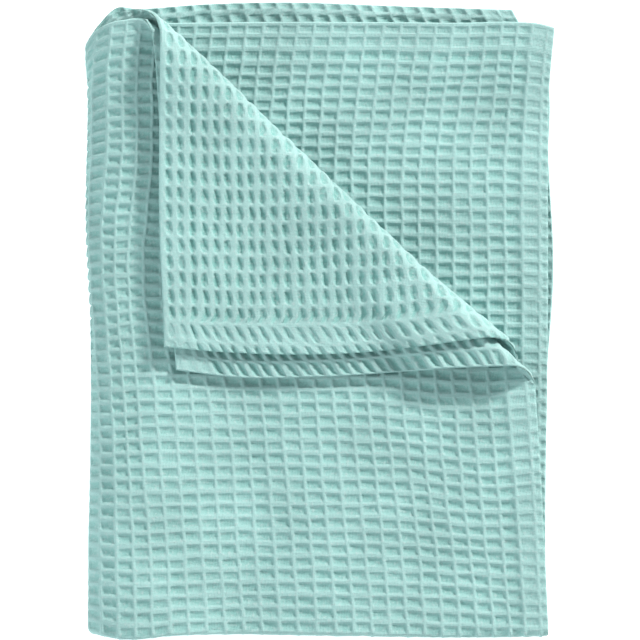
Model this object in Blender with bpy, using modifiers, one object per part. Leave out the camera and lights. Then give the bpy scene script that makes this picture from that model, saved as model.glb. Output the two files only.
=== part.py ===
"""Waffle weave cotton blanket, folded in half twice and laid flat, with one corner turned back.

The blanket is a single sheet of thick, springy cotton. The first fold brings its two ends together at
the bottom edge, the second brings its two sides together at the left edge. That leaves four layers,
whose free hemmed corners meet at the top right. The corner of the two top layers is then turned back
over a diagonal, so that the underside of the second layer faces up.

Units are metres. +Z is up, +X runs from the side fold to the free side hems and +Y from the bottom fold
to the free end hems. The origin is under the middle of the folded blanket, on the surface that it lies on.
"""

import math
from collections import namedtuple

import bmesh
import bpy
import numpy as np

COLLECTION = "waffle_weave_cotton_blanket"
NODE = "blanket"

# The sheet.
FLAT_WIDTH = 0.750
FLAT_LENGTH = 1.000
THICKNESS = 0.0036
SPACING = 0.0066  # between the middles of two layers that lie on each other

# The side fold: both layers together make one loose loop, low and tight underneath, high and wide above.
LOOP_LOW_REACH = 0.008
LOOP_LOW_RISE = 0.007
LOOP_HIGH_REACH = 0.034
LOOP_HIGH_RISE = 0.0196
LOOP_SETTLES_OVER = 0.106  # the upper pair comes down onto the lower pair over this distance
PROFILE_STEPS = 60

# The diagonal that the corner is turned over, in the plane of the upper pair.
DIAGONAL_X = 0.2194
DIAGONAL_Y = 0.3219
DIAGONAL_ANGLE = math.radians(41.7)

# The loop over the diagonal: how far out and how high each layer swings, and how far behind the loop the
# flap starts and ends to come down, against the place along it. Its lower right end stands up the longest.
TurnRow = namedtuple("TurnRow", "along first_reach first_rise second_reach settle_from settle_to")
TURN_ROWS = (
    TurnRow(-0.280, 0.0105, 0.0078, 0.0168, 0.000, 0.050),
    TurnRow(-0.190, 0.0080, 0.0066, 0.0162, 0.000, 0.050),
    TurnRow(-0.120, 0.0050, 0.0054, 0.0152, 0.000, 0.050),
    TurnRow(-0.010, 0.0042, 0.0050, 0.0120, 0.000, 0.050),
    TurnRow(0.070, 0.0040, 0.0062, 0.0100, 0.030, 0.060),
    TurnRow(0.140, 0.0040, 0.0092, 0.0120, 0.044, 0.066),
    TurnRow(0.210, 0.0040, 0.0100, 0.0125, 0.044, 0.066),
)

# The free side hems: how far each layer reaches from the side fold, against the share of the way from
# the bottom fold to the end hem. Layers are counted from the top.
SideRow = namedtuple("SideRow", "share first second third fourth")
SIDE_ROWS = (
    SideRow(0.00, 0.3615, 0.3615, 0.3606, 0.3600),
    SideRow(0.12, 0.3590, 0.3540, 0.3598, 0.3592),
    SideRow(0.27, 0.3552, 0.3440, 0.3600, 0.3590),
    SideRow(0.41, 0.3506, 0.3385, 0.3612, 0.3610),
    SideRow(0.58, 0.3426, 0.3360, 0.3618, 0.3664),
    SideRow(0.76, 0.3350, 0.3298, 0.3618, 0.3624),
    SideRow(0.90, 0.3268, 0.3212, 0.3628, 0.3596),
    SideRow(1.00, 0.3150, 0.3125, 0.3670, 0.3334),
)

# The free end hems: how far each layer reaches from the bottom fold, against the distance from the side
# fold along the cloth. The cloth is drawn in beside the side fold, but only near the hems.
EndRow = namedtuple("EndRow", "across first second third fourth")
END_ROWS = (
    EndRow(0.000, 0.4630, 0.4640, 0.4640, 0.4630),
    EndRow(0.010, 0.4730, 0.4770, 0.4770, 0.4828),
    EndRow(0.022, 0.4810, 0.4874, 0.4840, 0.4950),
    EndRow(0.040, 0.4850, 0.4910, 0.4840, 0.4950),
    EndRow(0.090, 0.4850, 0.4962, 0.4845, 0.4985),
    EndRow(0.160, 0.4855, 0.5030, 0.4845, 0.5002),
    EndRow(0.240, 0.4875, 0.5097, 0.4842, 0.4975),
    EndRow(0.300, 0.4895, 0.5135, 0.4838, 0.4955),
    EndRow(0.338, 0.4909, 0.5160, 0.4845, 0.4945),
    EndRow(0.360, 0.4909, 0.5160, 0.4828, 0.4945),
    EndRow(0.372, 0.4909, 0.5160, 0.4795, 0.4945),
)

DRAWN_IN_WITHIN = 0.040
DRAWN_IN_POWER = 6

# The side fold wanders in and out along its length.
EdgeRow = namedtuple("EdgeRow", "up inward")
LEFT_EDGE_ROWS = (
    EdgeRow(-0.01, 0.0016),
    EdgeRow(0.08, 0.0026),
    EdgeRow(0.14, 0.0040),
    EdgeRow(0.20, 0.0046),
    EdgeRow(0.25, 0.0034),
    EdgeRow(0.32, 0.0000),
    EdgeRow(0.42, 0.0012),
    EdgeRow(0.51, -0.0010),
)
LEFT_EDGE_FADES_OVER = 0.10
# The bottom fold wanders less.
BottomRow = namedtuple("BottomRow", "across outward")
BOTTOM_EDGE_ROWS = (
    BottomRow(0.000, -0.0014),
    BottomRow(0.026, 0.0024),
    BottomRow(0.060, 0.0000),
    BottomRow(0.200, 0.0006),
    BottomRow(0.300, 0.0016),
    BottomRow(0.370, 0.0006),
)
BOTTOM_EDGE_FADES_OVER = 0.05

# Soft rises and hollows of the springy cloth, which grow to their full height above the lower pair.
RippleRow = namedtuple("RippleRow", "height along_x along_y phase")
RIPPLE_ROWS = (
    RippleRow(0.0009, 37.0, 11.0, 0.4),
    RippleRow(0.0008, -16.0, 29.0, 1.9),
    RippleRow(0.0005, 55.0, -38.0, 0.9),
)
# A soft crease that runs up the upper layers beside the side fold.
CREASE_X = 0.031
CREASE_DEPTH = 0.0022
CREASE_HALF_WIDTH = 0.010
CREASE_Y = 0.235
CREASE_HALF_LENGTH = 0.150

# Facets: a wide grid over the whole sheet, and close lines along each fold, as (start, end, step).
GRID_STEP = 0.040
SIDE_FOLD_CUTS = ((-0.0140, -0.0010, 0.0020), (0.0, 0.050, 0.0048), (0.060, 0.165, 0.017))
BOTTOM_FOLD_CUTS = ((-0.0060, 0.0065, 0.0015),)
TURN_LINES = 15
NO_SLIVERS = 0.0005

COLOUR = (0.400, 0.680, 0.650, 1.0)
ROUGHNESS = 0.95


def clear_scene():
    for old in list(bpy.data.objects):
        bpy.data.objects.remove(old, do_unlink=True)


def column(rows, name):
    return np.array([getattr(row, name) for row in rows])


def through(places, values, where):
    """A smooth curve through (places, values), read at `where`, and held level past its ends."""
    slopes = np.gradient(values, places)
    where = np.clip(where, places[0], places[-1])
    piece = np.clip(np.searchsorted(places, where) - 1, 0, len(places) - 2)
    width = places[piece + 1] - places[piece]
    t = (where - places[piece]) / width
    start = (2 * t**3 - 3 * t**2 + 1) * values[piece] + (t**3 - 2 * t**2 + t) * width * slopes[piece]
    end = (3 * t**2 - 2 * t**3) * values[piece + 1] + (t**3 - t**2) * width * slopes[piece + 1]
    return start + end


def smooth_step(t):
    t = np.clip(t, 0.0, 1.0)
    return t * t * (3.0 - 2.0 * t)


def side_profile():
    """The line between the two layers of a pair, seen from the bottom edge, from the lower pair round the
    side fold to the upper pair. Returns the distance along it, counted from its leftmost point, and X and Z."""
    quarter = np.linspace(0.0, math.pi / 2, PROFILE_STEPS)
    settle = np.linspace(0.0, 1.0, PROFILE_STEPS)[1:]
    low_z = THICKNESS / 2 + SPACING / 2
    side_z = low_z + LOOP_LOW_RISE
    crest_z = side_z + LOOP_HIGH_RISE
    drop = crest_z - (low_z + 2 * SPACING)
    x = np.concatenate([
        [FLAT_WIDTH],
        LOOP_LOW_REACH * (1.0 - np.sin(quarter)),
        LOOP_HIGH_REACH * (1.0 - np.cos(quarter[1:])),
        LOOP_HIGH_REACH + LOOP_SETTLES_OVER * settle,
        [FLAT_WIDTH],
    ])
    z = np.concatenate([
        [low_z],
        low_z + LOOP_LOW_RISE * (1.0 - np.cos(quarter)),
        side_z + LOOP_HIGH_RISE * np.sin(quarter[1:]),
        crest_z - drop * smooth_step(settle),
        [crest_z - drop],
    ])
    along = np.concatenate([[0.0], np.cumsum(np.hypot(np.diff(x), np.diff(z)))])
    along -= along[len(quarter)]
    return along, x, z


PROFILE_ALONG, PROFILE_X, PROFILE_Z = side_profile()


def layer_curve(rows, place, where, chosen, yes, no):
    """Reads column `yes` of the table where `chosen` is true and column `no` elsewhere."""
    places = column(rows, place)
    return np.where(
        chosen,
        through(places, column(rows, yes), where),
        through(places, column(rows, no), where),
    )


def end_reach(distance, upper, outer):
    """How far the end hem of each point's layer lies from the bottom fold."""
    outer_end = layer_curve(END_ROWS, "across", distance, upper, "first", "fourth")
    inner_end = layer_curve(END_ROWS, "across", distance, upper, "second", "third")
    return np.where(outer, outer_end, inner_end)


def spread(u, v):
    """Flat sheet to the plane in which it is folded: X along the cloth from the side fold (upper pair
    positive) and Y from the bottom fold (first and fourth layers positive)."""
    share = np.abs(v) / (FLAT_LENGTH / 2)
    outer = v > 0
    upper_side = layer_curve(SIDE_ROWS, "share", share, outer, "first", "second")
    lower_side = layer_curve(SIDE_ROWS, "share", share, outer, "fourth", "third")
    upper_extra = PROFILE_ALONG[-1] - PROFILE_X[-1]
    lower_extra = -PROFILE_ALONG[0] - PROFILE_X[0]
    across = (u + FLAT_WIDTH / 2) / FLAT_WIDTH
    x = (upper_side + upper_extra) * across - (lower_side + lower_extra) * (1.0 - across)
    reach = end_reach(np.maximum(np.abs(x), DRAWN_IN_WITHIN), x > 0, outer)
    drawn_in = end_reach(np.abs(x), x > 0, outer) - reach
    bend_extra = (math.pi / 2 - 1.0) * SPACING / 2
    y = (reach + bend_extra) * share + drawn_in * share**DRAWN_IN_POWER
    return x, np.where(outer, y, -y)


def first_fold(y):
    """The bottom fold, a tight half turn. Returns Y from the fold and the height above the pair's middle."""
    radius = SPACING / 2
    angle = np.clip(y / radius, -math.pi / 2, math.pi / 2)
    past = np.maximum(np.abs(y) - radius * math.pi / 2, 0.0)
    return radius * (1.0 - np.cos(angle)) + past, radius * np.sin(angle)


def half_turn(reach, rise):
    """Length of half an ellipse."""
    return math.pi / 2 * (3 * (reach + rise) - np.sqrt((3 * reach + rise) * (reach + 3 * rise)))


def turn_corner(x, y, height, first):
    """Turns what lies past the diagonal up and over. `first` is true on the top layer, whose loop lies
    inside that of the second layer."""
    out_x = math.sin(DIAGONAL_ANGLE)
    out_y = math.cos(DIAGONAL_ANGLE)
    past = (x - DIAGONAL_X) * out_x + (y - DIAGONAL_Y) * out_y
    along = (x - DIAGONAL_X) * out_y - (y - DIAGONAL_Y) * out_x
    place = column(TURN_ROWS, "along")
    first_rise = through(place, column(TURN_ROWS, "first_rise"), along)
    first_reach = through(place, column(TURN_ROWS, "first_reach"), along)
    second_reach = through(place, column(TURN_ROWS, "second_reach"), along)
    settle_from = through(place, column(TURN_ROWS, "settle_from"), along)
    settle_to = through(place, column(TURN_ROWS, "settle_to"), along)
    reach = np.where(first, first_reach, second_reach)
    rise = np.where(first, first_rise, first_rise + SPACING)
    length = half_turn(reach, rise)
    angle = math.pi * np.clip(past / length, 0.0, 1.0)
    back = np.maximum(past - length, 0.0)
    new_past = np.where(past > 0, reach * np.sin(angle) - back, past)
    settled = (2 * first_rise - SPACING) * smooth_step((back - settle_from) / (settle_to - settle_from))
    new_height = height + rise * (1.0 - np.cos(angle)) - settled
    return (
        DIAGONAL_X + new_past * out_x + along * out_y,
        DIAGONAL_Y + new_past * out_y - along * out_x,
        new_height,
    )


def side_fold(x, height):
    """Bends the plane round the side fold. Returns X and Z."""
    tangent_x = np.interp(x, PROFILE_ALONG, np.gradient(PROFILE_X, PROFILE_ALONG))
    tangent_z = np.interp(x, PROFILE_ALONG, np.gradient(PROFILE_Z, PROFILE_ALONG))
    size = np.hypot(tangent_x, tangent_z)
    new_x = np.interp(x, PROFILE_ALONG, PROFILE_X) - height * tangent_z / size
    new_z = np.interp(x, PROFILE_ALONG, PROFILE_Z) + height * tangent_x / size
    return new_x, new_z


def unevenness(x, y, z):
    """Small rises and hollows in all but the lowest layer, a crease in the upper pair, and the wandering
    edges of the two folds."""
    lift = sum(
        row.height * np.sin(row.along_x * x + row.along_y * y + row.phase) for row in RIPPLE_ROWS
    )
    crease = np.exp(-(((x - CREASE_X) / CREASE_HALF_WIDTH) ** 2) - ((y - CREASE_Y) / CREASE_HALF_LENGTH) ** 2)
    free = smooth_step((z - THICKNESS / 2) / (3 * SPACING))
    inward = through(column(LEFT_EDGE_ROWS, "up"), column(LEFT_EDGE_ROWS, "inward"), y)
    new_x = x + inward * smooth_step(1.0 - x / LEFT_EDGE_FADES_OVER)
    outward = through(column(BOTTOM_EDGE_ROWS, "across"), column(BOTTOM_EDGE_ROWS, "outward"), x)
    new_y = y - outward * smooth_step(1.0 - y / BOTTOM_EDGE_FADES_OVER)
    above = smooth_step((z - 2 * SPACING) / SPACING)
    return new_x, new_y, z + free * lift - above * CREASE_DEPTH * crease


def fold(x, y):
    """The whole fold: the spread sheet's plane to its place in the folded blanket."""
    folded_y, height = first_fold(y)
    turned_x, turned_y, turned_height = turn_corner(x, folded_y, height, y > 0)
    upper = x > 0
    flat_x = np.where(upper, turned_x, x)
    flat_y = np.where(upper, turned_y, folded_y)
    flat_height = np.where(upper, turned_height, height)
    new_x, new_z = side_fold(flat_x, flat_height)
    return unevenness(new_x, flat_y, new_z)


def cut(bm, geometry, point, normal):
    bmesh.ops.bisect_plane(bm, geom=geometry, dist=NO_SLIVERS, plane_co=point, plane_no=normal)


def everything(bm):
    return bm.verts[:] + bm.edges[:] + bm.faces[:]


def quarter(bm, first):
    """The geometry of the first or second layer."""
    faces = [
        face for face in bm.faces
        if face.calc_center_median().x > 0 and (face.calc_center_median().y > 0) == first
    ]
    edges = {edge for face in faces for edge in face.edges}
    verts = {vert for face in faces for vert in face.verts}
    return list(verts) + list(edges) + faces


def flat_sheet():
    """The sheet as one flat rectangle, cut across and along into wide facets."""
    bm = bmesh.new()
    bmesh.ops.create_grid(bm, x_segments=1, y_segments=1, size=0.5)
    bmesh.ops.scale(bm, vec=(FLAT_WIDTH, FLAT_LENGTH, 1.0), verts=bm.verts[:])
    for place in np.arange(GRID_STEP / 2, FLAT_WIDTH / 2, GRID_STEP):
        for side in (-1.0, 1.0):
            cut(bm, everything(bm), (side * place, 0, 0), (1, 0, 0))
    for place in np.arange(GRID_STEP / 2, FLAT_LENGTH / 2, GRID_STEP):
        for side in (-1.0, 1.0):
            cut(bm, everything(bm), (0, side * place, 0), (0, 1, 0))
    return bm


def move(bm, rule):
    """Gives every vertex the place that `rule` works out from its own."""
    points = np.array([vert.co for vert in bm.verts], dtype=float)
    for vert, place in zip(bm.verts, rule(points)):
        vert.co = place


def spread_rule(points):
    x, y = spread(points[:, 0], points[:, 1])
    return np.stack([x, y, np.zeros_like(x)], axis=1)


def fold_rule(points):
    return np.stack(fold(points[:, 0], points[:, 1]), axis=1)


def cut_folds(bm):
    """Facets along the side fold and the bottom fold."""
    for start, end, step in SIDE_FOLD_CUTS:
        for place in np.arange(start, end, step):
            cut(bm, everything(bm), (place, 0, 0), (1, 0, 0))
    for start, end, step in BOTTOM_FOLD_CUTS:
        for place in np.arange(start, end, step):
            cut(bm, everything(bm), (0, place, 0), (0, 1, 0))


def cut_turns(bm):
    """Facets along the diagonal loop, close on the first layer and wider on the second."""
    out_x = math.sin(DIAGONAL_ANGLE)
    out_y = math.cos(DIAGONAL_ANGLE)
    first_length = max(half_turn(row.first_reach, row.first_rise) for row in TURN_ROWS)
    second_length = max(half_turn(row.second_reach, row.first_rise + SPACING) for row in TURN_ROWS)
    for first, side, length in ((True, 1.0, first_length), (False, -1.0, second_length)):
        for past in np.linspace(0.0, length, TURN_LINES):
            point = (DIAGONAL_X + past * out_x, side * (DIAGONAL_Y + past * out_y), 0.0)
            cut(bm, quarter(bm, first), point, (out_x, side * out_y, 0.0))


def cotton():
    material = bpy.data.materials.new("mint_cotton")
    material.use_nodes = True
    shader = material.node_tree.nodes["Principled BSDF"]
    shader.inputs["Base Color"].default_value = COLOUR
    shader.inputs["Roughness"].default_value = ROUGHNESS
    shader.inputs["Metallic"].default_value = 0.0
    return material


def blanket(collection):
    bm = flat_sheet()
    move(bm, spread_rule)
    cut_folds(bm)
    cut_turns(bm)
    move(bm, fold_rule)
    bmesh.ops.triangulate(bm, faces=bm.faces[:], quad_method="SHORT_EDGE")
    bmesh.ops.recalc_face_normals(bm, faces=bm.faces[:])
    xs = [vert.co.x for vert in bm.verts]
    ys = [vert.co.y for vert in bm.verts]
    # The left and bottom edges are folds, which half of the cloth's thickness stands out from.
    middle_x = (min(xs) - THICKNESS / 2 + max(xs)) / 2
    middle_y = (min(ys) - THICKNESS / 2 + max(ys)) / 2
    bmesh.ops.translate(bm, vec=(-middle_x, -middle_y, 0.0), verts=bm.verts[:])
    mesh = bpy.data.meshes.new(NODE)
    bm.to_mesh(mesh)
    bm.free()
    mesh.shade_smooth()
    mesh.materials.append(cotton())
    obj = bpy.data.objects.new(NODE, mesh)
    collection.objects.link(obj)
    solidify = obj.modifiers.new("cloth_thickness", "SOLIDIFY")
    solidify.thickness = THICKNESS
    solidify.offset = 0.0
    solidify.use_quality_normals = True
    return obj


def main():
    clear_scene()
    collection = bpy.data.collections.new(COLLECTION)
    bpy.context.scene.collection.children.link(collection)
    blanket(collection)


main()
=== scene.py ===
"""Waffle weave cotton blanket, folded in half twice with one corner turned back: its woven looks.

The blanket is one sheet. Two coordinates run over it, counted in waffle cells from its middle: `a` across
the width and `b` along the length. The same folds as in the solid carry that sheet to its place, and the
waffle relief stands on both of its faces, so every ridge and pit follows the folds. The four quarters of
the sheet are four pieces, one for each layer of the stack, and they meet along the two folds.

Units are metres, +Z is up, and values in millimetres have _mm or _MM at the end of their names.
"""

import logging
import math
from dataclasses import dataclass, field
from enum import Enum
from typing import Callable, NamedTuple, Sequence

import bpy
import numpy as np
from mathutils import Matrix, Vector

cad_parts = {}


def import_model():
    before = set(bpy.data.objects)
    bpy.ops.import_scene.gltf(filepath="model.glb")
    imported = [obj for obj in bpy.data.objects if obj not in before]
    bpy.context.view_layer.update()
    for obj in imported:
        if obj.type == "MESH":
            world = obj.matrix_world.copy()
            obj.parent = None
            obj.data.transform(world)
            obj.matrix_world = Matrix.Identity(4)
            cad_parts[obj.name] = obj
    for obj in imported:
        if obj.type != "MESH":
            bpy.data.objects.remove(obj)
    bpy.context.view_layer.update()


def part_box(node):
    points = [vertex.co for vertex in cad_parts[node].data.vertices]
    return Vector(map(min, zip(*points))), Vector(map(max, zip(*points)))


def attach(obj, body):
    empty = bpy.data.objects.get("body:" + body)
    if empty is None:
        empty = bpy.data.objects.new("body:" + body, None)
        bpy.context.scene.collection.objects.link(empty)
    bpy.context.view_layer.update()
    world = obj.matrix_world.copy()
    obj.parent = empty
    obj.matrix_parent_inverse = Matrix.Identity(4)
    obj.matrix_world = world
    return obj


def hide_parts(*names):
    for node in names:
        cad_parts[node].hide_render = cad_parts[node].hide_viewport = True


Array = np.ndarray
Color = tuple[float, float, float, float]

LOG = logging.getLogger("blanket")
BODY = "root"
NODE = "blanket"
MM = 0.001
TINY = 1e-12


# ----------------------------------------
# Small helpers
# ----------------------------------------


def linear(hex_color: str) -> Color:
    """Turns an sRGB hex colour into linear light: below 0.04045 it divides by 12.92, above it takes the
    power 2.4 of (c + 0.055) / 1.055.

    Args:
        hex_color: six hex digits with a leading hash.

    Returns:
        Red, green, blue and an alpha of 1.
    """
    raw = [int(hex_color[place : place + 2], 16) / 255 for place in (1, 3, 5)]
    red, green, blue = (c / 12.92 if c <= 0.04045 else ((c + 0.055) / 1.055) ** 2.4 for c in raw)
    return (red, green, blue, 1.0)


def smooth_step(t: Array) -> Array:
    """Rises from 0 to 1 as t does, level at both ends: 3 t squared minus 2 t cubed."""
    t = np.clip(t, 0.0, 1.0)
    return t * t * (3.0 - 2.0 * t)


def bell(distance: Array, half_width: float) -> Array:
    """A soft bump of height 1: e to the minus square of distance over half width."""
    return np.exp(-((distance / half_width) ** 2))


def column(rows: Sequence[NamedTuple], name: str) -> Array:
    """One named column of a table, as an array."""
    return np.array([getattr(row, name) for row in rows], dtype=float)


def through(places: Array, values: Array, where: Array) -> Array:
    """A smooth curve through points: a cubic on each stretch, with the slopes of the points beside it.

    Args:
        places: rising positions of the points.
        values: the curve's value at each.
        where: where to read it. It is held level past its ends.

    Returns:
        The curve at `where`.
    """
    slopes = np.gradient(values, places)
    where = np.clip(where, places[0], places[-1])
    piece = np.clip(np.searchsorted(places, where) - 1, 0, len(places) - 2)
    width = places[piece + 1] - places[piece]
    t = (where - places[piece]) / width
    start = (2 * t**3 - 3 * t**2 + 1) * values[piece] + (t**3 - 2 * t**2 + t) * width * slopes[piece]
    end = (3 * t**2 - 2 * t**3) * values[piece + 1] + (t**3 - t**2) * width * slopes[piece + 1]
    return start + end


def read(rows: Sequence[NamedTuple], name: str, where: Array) -> Array:
    """Reads one named column of a table, as a smooth curve over the places in its first column."""
    return through(column(rows, rows[0]._fields[0]), column(rows, name), where)


class WaveRow(NamedTuple):
    """One soft wave of the cloth or of its weave: its size, its rates along both ways and its phase."""

    size: float
    along_x: float
    along_y: float
    phase: float


def waves(rows: Sequence[WaveRow], x: Array, y: Array) -> Array:
    """The sum of waves. Each is its size times the sine of both rates and the phase."""
    return sum(r.size * np.sin(r.along_x * x + r.along_y * y + r.phase) for r in rows)


# ----------------------------------------
# The folds, with the same sizes as the solid
# ----------------------------------------


class TurnRow(NamedTuple):
    """The loop over the diagonal at one place along it: how far out and how high each layer swings, and how
    far behind the loop the flap starts and ends to come down."""

    along: float
    first_reach: float
    first_rise: float
    second_reach: float
    settle_from: float
    settle_to: float


class HemRow(NamedTuple):
    """How far a hem of each layer, counted from the top, lies from its fold, at one place along the hem."""

    place: float
    first: float
    second: float
    third: float
    fourth: float


class WanderRow(NamedTuple):
    """How far a folded edge wanders at one place along it."""

    place: float
    shift: float


TURN_ROWS = (
    TurnRow(-0.280, 0.0105, 0.0078, 0.0168, 0.000, 0.050),
    TurnRow(-0.190, 0.0080, 0.0066, 0.0162, 0.000, 0.050),
    TurnRow(-0.120, 0.0050, 0.0054, 0.0152, 0.000, 0.050),
    TurnRow(-0.010, 0.0042, 0.0050, 0.0120, 0.000, 0.050),
    TurnRow(0.070, 0.0040, 0.0062, 0.0100, 0.030, 0.060),
    TurnRow(0.140, 0.0040, 0.0092, 0.0120, 0.044, 0.066),
    TurnRow(0.210, 0.0040, 0.0100, 0.0125, 0.044, 0.066),
)
# The side hems, from the side fold. The place is the share of the way from the bottom fold to the end hem.
SIDE_ROWS = (
    HemRow(0.00, 0.3615, 0.3615, 0.3606, 0.3600),
    HemRow(0.12, 0.3590, 0.3540, 0.3598, 0.3592),
    HemRow(0.27, 0.3552, 0.3440, 0.3600, 0.3590),
    HemRow(0.41, 0.3506, 0.3385, 0.3612, 0.3610),
    HemRow(0.58, 0.3426, 0.3360, 0.3618, 0.3664),
    HemRow(0.76, 0.3350, 0.3298, 0.3618, 0.3624),
    HemRow(0.90, 0.3268, 0.3212, 0.3628, 0.3596),
    HemRow(1.00, 0.3150, 0.3125, 0.3670, 0.3334),
)
# The end hems, from the bottom fold. The place is the distance along the cloth from the side fold.
END_ROWS = (
    HemRow(0.000, 0.4630, 0.4640, 0.4640, 0.4630),
    HemRow(0.010, 0.4730, 0.4770, 0.4770, 0.4828),
    HemRow(0.022, 0.4810, 0.4874, 0.4840, 0.4950),
    HemRow(0.040, 0.4850, 0.4910, 0.4840, 0.4950),
    HemRow(0.090, 0.4850, 0.4962, 0.4845, 0.4985),
    HemRow(0.160, 0.4855, 0.5030, 0.4845, 0.5002),
    HemRow(0.240, 0.4875, 0.5097, 0.4842, 0.4975),
    HemRow(0.300, 0.4895, 0.5135, 0.4838, 0.4955),
    HemRow(0.338, 0.4909, 0.5160, 0.4845, 0.4945),
    HemRow(0.360, 0.4909, 0.5160, 0.4828, 0.4945),
    HemRow(0.372, 0.4909, 0.5160, 0.4795, 0.4945),
)
LEFT_EDGE_ROWS = (
    WanderRow(-0.01, 0.0016),
    WanderRow(0.08, 0.0026),
    WanderRow(0.14, 0.0040),
    WanderRow(0.20, 0.0046),
    WanderRow(0.25, 0.0034),
    WanderRow(0.32, 0.0000),
    WanderRow(0.42, 0.0012),
    WanderRow(0.51, -0.0010),
)
BOTTOM_EDGE_ROWS = (
    WanderRow(0.000, -0.0014),
    WanderRow(0.026, 0.0024),
    WanderRow(0.060, 0.0000),
    WanderRow(0.200, 0.0006),
    WanderRow(0.300, 0.0016),
    WanderRow(0.370, 0.0006),
)
RIPPLE_ROWS = (
    WaveRow(0.0009, 37.0, 11.0, 0.4),
    WaveRow(0.0008, -16.0, 29.0, 1.9),
    WaveRow(0.0005, 55.0, -38.0, 0.9),
)


@dataclass
class BlanketFold:
    """The way the flat sheet lies once it is folded: a function from the sheet to its place.

    The sheet's middle is its origin, `u` runs across the width and `v` along the length. The stack's own
    X runs from the side fold to the free side hems and Y from the bottom fold to the free end hems.
    """

    flat_width: float = 0.750
    flat_length: float = 1.000
    thickness: float = 0.0036
    spacing: float = 0.0066
    loop_low_reach: float = 0.008
    loop_low_rise: float = 0.007
    loop_high_reach: float = 0.034
    loop_high_rise: float = 0.0196
    loop_settles_over: float = 0.106
    diagonal_x: float = 0.2194
    diagonal_y: float = 0.3219
    diagonal_angle: float = math.radians(41.7)
    drawn_in_within: float = 0.040
    drawn_in_power: int = 6
    left_edge_fades_over: float = 0.10
    bottom_edge_fades_over: float = 0.05
    crease_x: float = 0.031
    crease_depth: float = 0.0022
    crease_half_width: float = 0.010
    crease_y: float = 0.235
    crease_half_length: float = 0.150
    profile_steps: int = 400
    shift_x: float = 0.0
    shift_y: float = 0.0
    profile: tuple[Array, Array, Array] = field(init=False)

    def __post_init__(self) -> None:
        """Works out the side fold's line once, because every point of the sheet reads it."""
        self.profile = self.side_profile()

    def side_profile(self) -> tuple[Array, Array, Array]:
        """The line between the two layers of a pair, from the lower pair round the side fold to the upper:
        a quarter of a small ellipse, a quarter of a larger one, and a smooth step down.

        Returns:
            The distance along it, counted from its leftmost point, and X and Z.
        """
        quarter = np.linspace(0.0, math.pi / 2, self.profile_steps)
        settle = np.linspace(0.0, 1.0, self.profile_steps)[1:]
        low_z = self.thickness / 2 + self.spacing / 2
        side_z = low_z + self.loop_low_rise
        crest_z = side_z + self.loop_high_rise
        drop = crest_z - (low_z + 2 * self.spacing)
        x = np.concatenate([
            [self.flat_width],
            self.loop_low_reach * (1.0 - np.sin(quarter)),
            self.loop_high_reach * (1.0 - np.cos(quarter[1:])),
            self.loop_high_reach + self.loop_settles_over * settle,
            [self.flat_width],
        ])
        z = np.concatenate([
            [low_z],
            low_z + self.loop_low_rise * (1.0 - np.cos(quarter)),
            side_z + self.loop_high_rise * np.sin(quarter[1:]),
            crest_z - drop * smooth_step(settle),
            [crest_z - drop],
        ])
        along = np.concatenate([[0.0], np.cumsum(np.hypot(np.diff(x), np.diff(z)))])
        along -= along[len(quarter)]
        return along, x, z

    @staticmethod
    def layer_curve(rows: Sequence[HemRow], where: Array, chosen: Array, names: tuple[str, str]) -> Array:
        """Reads one column of a table where `chosen` is true and another where it isn't.

        Args:
            rows: the table.
            where: where to read.
            chosen: which of the two columns each point reads.
            names: the column for true and the column for false.

        Returns:
            The value for each point.
        """
        return np.where(chosen, read(rows, names[0], where), read(rows, names[1], where))

    def spread(self, u: Array, v: Array) -> tuple[Array, Array]:
        """Stretches the flat sheet to the plane in which it is folded, linearly between its hems.

        Args:
            u: across the flat sheet.
            v: along the flat sheet.

        Returns:
            X along the cloth from the side fold and Y from the bottom fold.
        """
        share = np.abs(v) / (self.flat_length / 2)
        outer = v > 0
        along, profile_x, _ = self.profile
        upper = self.layer_curve(SIDE_ROWS, share, outer, ("first", "second"))
        lower = self.layer_curve(SIDE_ROWS, share, outer, ("fourth", "third"))
        upper = upper + along[-1] - profile_x[-1]
        lower = lower - along[0] - profile_x[0]
        across = (u + self.flat_width / 2) / self.flat_width
        x = upper * across - lower * (1.0 - across)
        reach = self.end_reach(np.maximum(np.abs(x), self.drawn_in_within), x > 0, outer)
        drawn_in = self.end_reach(np.abs(x), x > 0, outer) - reach
        bend_extra = (math.pi / 2 - 1.0) * self.spacing / 2
        y = (reach + bend_extra) * share + drawn_in * share**self.drawn_in_power
        return x, np.where(outer, y, -y)

    def end_reach(self, distance: Array, upper: Array, outer: Array) -> Array:
        """How far the end hem of each point's layer lies from the bottom fold.

        Args:
            distance: along the cloth from the side fold.
            upper: true on the upper pair.
            outer: true on the top and the bottom layer.

        Returns:
            The distance from the bottom fold.
        """
        outer_end = self.layer_curve(END_ROWS, distance, upper, ("first", "fourth"))
        inner_end = self.layer_curve(END_ROWS, distance, upper, ("second", "third"))
        return np.where(outer, outer_end, inner_end)

    def bottom_fold(self, y: Array) -> tuple[Array, Array]:
        """The bottom fold, a tight half circle: Y and height follow the cosine and the sine of the way round.

        Args:
            y: along the cloth from the bottom fold, below zero on the inner layer.

        Returns:
            Y from the fold and the height above the pair's middle.
        """
        radius = self.spacing / 2
        angle = np.clip(y / radius, -math.pi / 2, math.pi / 2)
        past = np.maximum(np.abs(y) - radius * math.pi / 2, 0.0)
        return radius * (1.0 - np.cos(angle)) + past, radius * np.sin(angle)

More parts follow.
